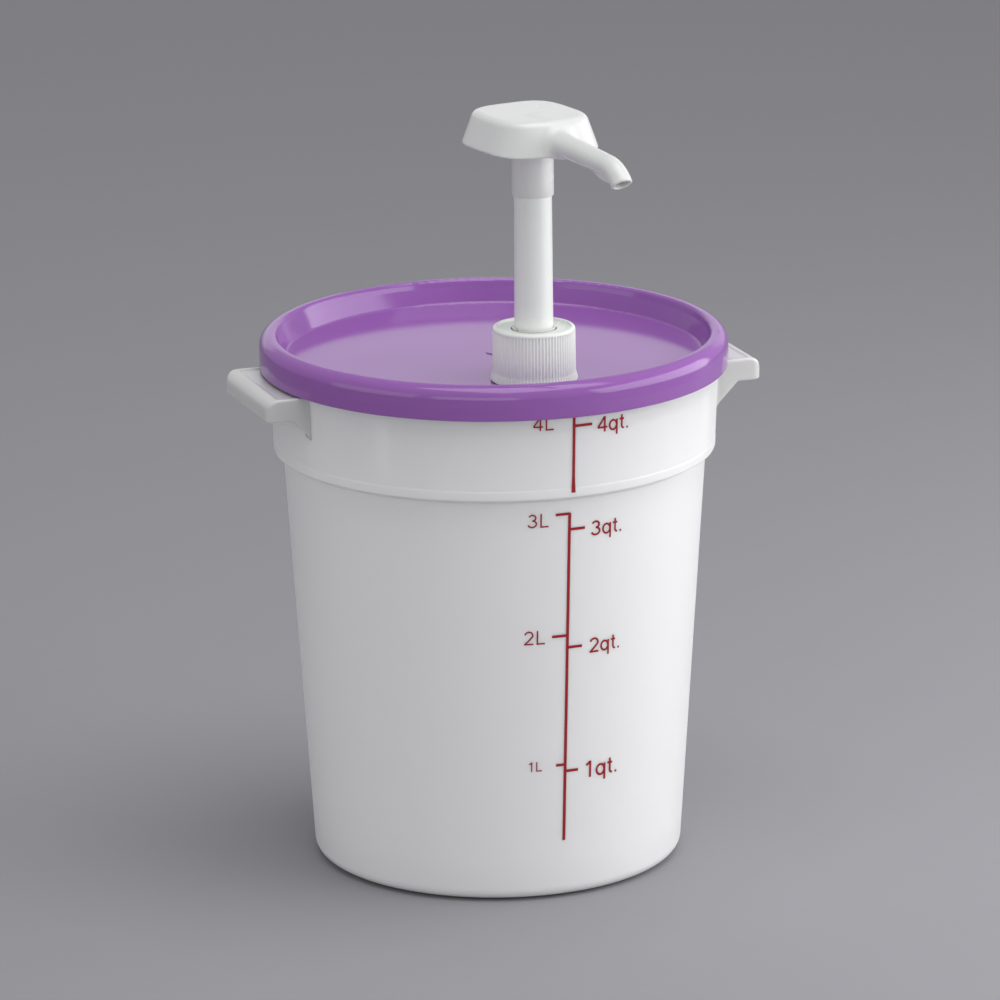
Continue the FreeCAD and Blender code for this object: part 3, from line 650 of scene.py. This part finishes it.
# middle lines of the strokes of each sign; a figure is 1 high and stands on v = 0
SIGNS = {
    "1": [[(0.20, 0.76), (0.34, 0.85), (0.44, 0.97)], [(0.46, 1.0), (0.46, 0.0)]],
    "2": [[*arc(0.38, 0.69, 0.27, 0.25, 170, -25), (0.42, 0.36), (0.12, 0.07)],
          [(0.06, 0.06), (0.70, 0.06)]],
    "3": [arc(0.36, 0.735, 0.24, 0.205, 160, -90), arc(0.36, 0.295, 0.29, 0.235, 90, -165)],
    "4": [[(0.54, 1.0), (0.54, 0.0)], [(0.52, 0.96), (0.07, 0.32)], [(0.04, 0.29), (0.72, 0.29)]],
    "L": [[(0.17, 1.0), (0.17, 0.0)], [(0.12, 0.06), (0.70, 0.06)]],
    "q": [arc(0.35, 0.36, 0.26, 0.31, 0, 360, 24), [(0.63, 0.72), (0.63, -0.28)]],
    "t": [[(0.20, 0.94), (0.20, 0.20), (0.24, 0.09), (0.37, 0.05)], [(0.03, 0.67), (0.36, 0.67)]],
    ".": [[(0.20, 0.0), (0.20, 0.13)]],
}
ADVANCE = {"t": 0.42, ".": 0.36}
FIGURE_ADVANCE = 0.80


def outer_r(z):
    """The tub's outer radius at heights up to the rim."""
    outside = rounded(TUB_OUTSIDE)[1:]
    return np.interp(z, [p.y for p in outside], [p.x for p in outside])


def on_wall(points):
    """Wraps points (arc length, lift, z) round the tub, with the scale's line at -Y."""
    along, lift, z = np.asarray(points, float).T
    wall = outer_r(z)
    angle = along / wall
    return np.stack([(wall + lift) * np.sin(angle), -(wall + lift) * np.cos(angle), z], axis=1)


def finer(path):
    """The path's points (u, v, width) with more between them, none further apart than the step."""
    result = [path[0]]
    for here, following in zip(path, path[1:]):
        parts = max(1, math.ceil(math.dist(here[:2], following[:2]) / INK_STEP))
        result += [tuple(a + (b - a) * part / parts for a, b in zip(here, following))
                   for part in range(1, parts + 1)]
    return result


def ink_stroke(path):
    """Points and faces of a thin closed ribbon of ink along a path of (arc length, z, width)."""
    path = finer(path)
    points = []
    for i, (u, v, width) in enumerate(path):
        back, ahead = path[max(i - 1, 0)], path[min(i + 1, len(path) - 1)]
        along = Vector((ahead[0] - back[0], ahead[1] - back[1])).normalized()
        aside = Vector((-along.y, along.x)) * width / 2
        points += [(u + side * aside.x, lift, v + side * aside.y)
                   for lift in (-INK_LIFT, INK_LIFT) for side in (-1, 1)]
    last = 4 * (len(path) - 1)
    faces = [(0, 1, 3, 2), (last, last + 2, last + 3, last + 1)]
    for a in range(0, last, 4):
        b = a + 4
        faces += [(a, a + 2, b + 2, b), (a + 1, b + 1, b + 3, a + 3),
                  (a, b, b + 1, a + 1), (a + 2, a + 3, b + 3, b + 2)]
    return points, faces


def label_strokes(text, middle_arc, middle_z, height, width):
    """The strokes of a label, as tall as its figures."""
    starts = [0.0]
    for sign in text:
        starts.append(starts[-1] + ADVANCE.get(sign, FIGURE_ADVANCE))
    strokes = []
    for sign, start in zip(text, starts):
        for stroke in SIGNS[sign]:
            strokes.append([(middle_arc + (start + u - starts[-1] / 2) * height,
                             middle_z + (v - 0.5) * height, width) for u, v in stroke])
    return strokes


def make_scale():
    """All the printed lines, ticks and labels, one piece of ink."""
    strokes = [[(0.0, z, width) for z, width in line] for line in LINES]
    strokes += [[(0.0, z, TICK_HEIGHT), (reach, z, TICK_HEIGHT)] for z, reach in TICKS]
    for label in LABELS:
        strokes += label_strokes(*label)
    shapes = [ink_stroke(stroke) for stroke in strokes]
    points, faces = [], []
    for shape_points, shape_faces in shapes:
        start = len(points)
        points += [tuple(p) for p in shape_points]
        faces += [tuple(start + i for i in face) for face in shape_faces]
    piece = make_object("printed_scale", on_wall(points), faces)
    piece.data.shade_flat()
    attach(piece, "tub")
    return piece


# ---------------------------------------------------------------- materials
NOISE_SCALES = {"mottle": (28.0, 4.0), "smear": (90.0, 6.0), "grain": (700.0, 3.0), "streak": (400.0, 5.0)}
GRAIN_HEIGHT = 0.0003    # metres
PLASTIC_IOR = 1.49
LEAST_ROUGHNESS = 0.02
STREAK_CONTRAST = (0.7, 1.4)


def blank_material(name):
    """A material, its node tree and its shader."""
    material = bpy.data.materials.new(name)
    material.use_nodes = True
    tree = material.node_tree
    return material, tree, tree.nodes["Principled BSDF"]


def noise(tree, kind):
    """The value of a noise in the piece's own coordinates."""
    place = tree.nodes.new("ShaderNodeTexCoord")
    texture = tree.nodes.new("ShaderNodeTexNoise")
    scale, detail = NOISE_SCALES[kind]
    texture.inputs["Scale"].default_value = scale
    texture.inputs["Detail"].default_value = detail
    tree.links.new(place.outputs["Object"], texture.inputs["Vector"])
    return texture.outputs["Fac"]


def vary_roughness(tree, shader, kind, low, high):
    """Lets a noise move the shader's roughness between two values."""
    gloss = tree.nodes.new("ShaderNodeMapRange")
    gloss.inputs["To Min"].default_value = low
    gloss.inputs["To Max"].default_value = high
    tree.links.new(noise(tree, kind), gloss.inputs["Value"])
    tree.links.new(gloss.outputs["Result"], shader.inputs["Roughness"])


def plastic(name, colour, roughness, grain=0.03, bump=0.05, scatter=0.0, scatter_mm=3.0, mottle=0.03):
    """Moulded plastic: a faint mottle in its colour, uneven gloss and a fine moulded grain."""
    material, tree, shader = blank_material(name)
    tint = tree.nodes.new("ShaderNodeMix")
    tint.data_type = "RGBA"
    tint.inputs["A"].default_value = (*[c * (1 - mottle) for c in colour], 1)
    tint.inputs["B"].default_value = (*[min(1, c * (1 + mottle)) for c in colour], 1)
    tree.links.new(noise(tree, "mottle"), tint.inputs["Factor"])
    tree.links.new(tint.outputs["Result"], shader.inputs["Base Color"])

    vary_roughness(tree, shader, "smear", max(LEAST_ROUGHNESS, roughness - grain), roughness + grain)

    height = tree.nodes.new("ShaderNodeBump")
    height.inputs["Strength"].default_value = bump
    height.inputs["Distance"].default_value = GRAIN_HEIGHT
    tree.links.new(noise(tree, "grain"), height.inputs["Height"])
    tree.links.new(height.outputs["Normal"], shader.inputs["Normal"])

    shader.inputs["IOR"].default_value = PLASTIC_IOR
    shader.inputs["Subsurface Weight"].default_value = scatter
    shader.inputs["Subsurface Radius"].default_value = (1.0, 1.0, 1.0)
    shader.inputs["Subsurface Scale"].default_value = scatter_mm * MM
    return material


def glossy_white(name, colour, scatter_mm, mottle=0.03):
    """The pump's white plastic."""
    return plastic(name, colour, 0.26, grain=0.04, bump=0.03,
                   scatter=0.3, scatter_mm=scatter_mm, mottle=mottle)


def metal(name, colour, roughness):
    """Drawn or ground stainless steel: fine streaks in its gloss."""
    material, tree, shader = blank_material(name)
    shader.inputs["Base Color"].default_value = (*colour, 1)
    shader.inputs["Metallic"].default_value = 1.0
    low, high = STREAK_CONTRAST
    vary_roughness(tree, shader, "streak", roughness * low, roughness * high)
    return material


def paint(piece, material):
    piece.data.materials.clear()
    piece.data.materials.append(material)


def paint_node(node, material):
    for slot in node.material_slots:
        slot.material = material


# ---------------------------------------------------------------- studio
CAMERA_AT = (-0.8456, -2.3045, 0.8282)
CAMERA_YAW = math.radians(-20.15)      # the view is turned this far from +Y, clockwise from above
VIEW_YAW = 0.0008155
VIEW_PITCH = 0.27137
VIEW_ROLL = -0.0087088
LENS = 227.8
SENSOR_WIDTH = 36.0
FAR_CLIP = 50.0

LIGHTS_AIM = Vector((0, 0, 0.16))
# softboxes: name, azimuth from the camera's side, elevation, distance, width, height, power
LIGHTS = [
    ("key", 86, 13, 0.85, 1.3, 0.6, 7.0),
    ("fill", -60, 6, 2.4, 2.0, 1.4, 8),
    ("front", -10, 5, 2.6, 1.8, 0.9, 7),
    ("top", 40, 78, 1.9, 1.6, 1.6, 21),
    ("back", 180, 14, 2.6, 3.0, 0.8, 3),
]
WORLD_COLOUR = (0.86, 0.86, 0.9, 1)
WORLD_STRENGTH = 0.49
FLOOR_HALF_SIZE = 5000.0
FLOOR_Z = -0.0002        # metres


def make_camera():
    """The camera: its place, and its view from yaw, pitch and roll."""
    yaw = VIEW_YAW - CAMERA_YAW
    level_share = math.cos(VIEW_PITCH)
    forward = Vector((math.sin(yaw) * level_share, math.cos(yaw) * level_share, -math.sin(VIEW_PITCH)))
    level = Vector((math.cos(yaw), -math.sin(yaw), 0))
    upright = level.cross(forward)
    right = math.cos(VIEW_ROLL) * level + math.sin(VIEW_ROLL) * upright
    up = -math.sin(VIEW_ROLL) * level + math.cos(VIEW_ROLL) * upright
    data = bpy.data.cameras.new("camera")
    data.lens = LENS
    data.sensor_width = SENSOR_WIDTH
    data.clip_end = FAR_CLIP
    camera = bpy.data.objects.new("camera", data)
    camera.matrix_world = Matrix((
        (right.x, up.x, -forward.x, CAMERA_AT[0]),
        (right.y, up.y, -forward.y, CAMERA_AT[1]),
        (right.z, up.z, -forward.z, CAMERA_AT[2]),
        (0, 0, 0, 1),
    ))
    bpy.context.scene.collection.objects.link(camera)
    bpy.context.scene.camera = camera


def soft_light(name, azimuth, elevation, distance, width, height, power):
    """A softbox that faces the dispenser; azimuth is from the camera's side, positive to the right."""
    turn = math.radians(azimuth) + CAMERA_YAW
    rise = math.radians(elevation)
    away = Vector((math.sin(turn) * math.cos(rise), -math.cos(turn) * math.cos(rise), math.sin(rise)))
    data = bpy.data.lights.new(name, "AREA")
    data.shape = "RECTANGLE"
    data.size = width
    data.size_y = height
    data.energy = power
    light = bpy.data.objects.new(name, data)
    light.location = LIGHTS_AIM + away * distance
    light.rotation_euler = (-away).to_track_quat("-Z", "Y").to_euler()
    light.visible_camera = False
    bpy.context.scene.collection.objects.link(light)


def make_floor():
    half = FLOOR_HALF_SIZE
    corners = [(-half, -half, 0), (half, -half, 0), (half, half, 0), (-half, half, 0)]
    floor = make_object("studio_floor", corners, [(0, 1, 2, 3)])
    floor.location.z = FLOOR_Z
    return floor


def make_world():
    world = bpy.data.worlds.new("studio")
    world.use_nodes = True
    background = world.node_tree.nodes["Background"]
    background.inputs["Color"].default_value = WORLD_COLOUR
    background.inputs["Strength"].default_value = WORLD_STRENGTH
    bpy.context.scene.world = world


# ---------------------------------------------------------------- build
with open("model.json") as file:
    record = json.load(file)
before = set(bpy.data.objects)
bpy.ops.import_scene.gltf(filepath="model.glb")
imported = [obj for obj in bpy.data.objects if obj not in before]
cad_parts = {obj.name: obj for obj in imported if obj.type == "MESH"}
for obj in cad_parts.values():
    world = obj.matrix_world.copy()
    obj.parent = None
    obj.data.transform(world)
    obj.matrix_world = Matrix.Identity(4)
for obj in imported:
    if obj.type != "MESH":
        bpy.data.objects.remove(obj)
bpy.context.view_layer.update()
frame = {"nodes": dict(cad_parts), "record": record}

polypropylene = plastic("milky_polypropylene", (0.87, 0.87, 0.86), 0.34, scatter=1.0, mottle=0.01)
thin_polypropylene = plastic("thin_polypropylene", (0.60, 0.60, 0.59), 0.26, scatter=0.6, mottle=0.02)
lilac = plastic("lilac_gloss", (0.28, 0.105, 0.385), 0.12, grain=0.02, bump=0.02,
                scatter=0.1, scatter_mm=1.0)
white = glossy_white("white_gloss", (0.70, 0.705, 0.69), scatter_mm=1.5, mottle=0.01)
# Painted light: the stem's and the cap's copies of the pump's white plastic are lighter than the head's to
# brighten them, and tinted green to cancel the lilac light that the lid bounces onto them.
stem_white_painted_light = glossy_white("stem_white_painted_light", (0.80, 0.82, 0.79), scatter_mm=1.5)
cap_white_painted_light = glossy_white("cap_white_painted_light", (0.82, 0.86, 0.80), scatter_mm=1.0, mottle=0.01)
natural = plastic("natural_plastic", (0.80, 0.81, 0.78), 0.35, scatter=0.5)
rubber = plastic("black_rubber", (0.02, 0.02, 0.022), 0.6, bump=0.1)
ink = plastic("red_ink", (0.31, 0.004, 0.010), 0.8, mottle=0.1)
steel = metal("stainless", (0.62, 0.62, 0.63), 0.22)

BY_SLOT = {
    "tub": polypropylene, "lid": lilac, "pump_white": white, "collar_white": cap_white_painted_light,
    "natural": natural, "seal": rubber, "steel": steel, "ball": steel, "ink": ink,
}
for part in frame["record"]["subparts"]:
    paint_node(frame["nodes"][part["node"]], BY_SLOT[part["material_slot"]])

paint(make_tub(), polypropylene)
paint(make_grip("grip_right", 1), thin_polypropylene)
paint(make_grip("grip_left", -1), thin_polypropylene)
paint(make_collar(), cap_white_painted_light)
paint(make_head(), white)
paint(make_sleeve(), white)
paint(make_spring(), steel)
paint_node(frame["nodes"]["piston_stem"], stem_white_painted_light)
paint(make_scale(), ink)

make_camera()
paint(make_floor(), plastic("studio_paper", (0.275, 0.273, 0.292), 0.8, mottle=0.01))
make_world()
for light in LIGHTS:
    soft_light(*light)
bpy.context.scene.view_settings.view_transform = "Standard"
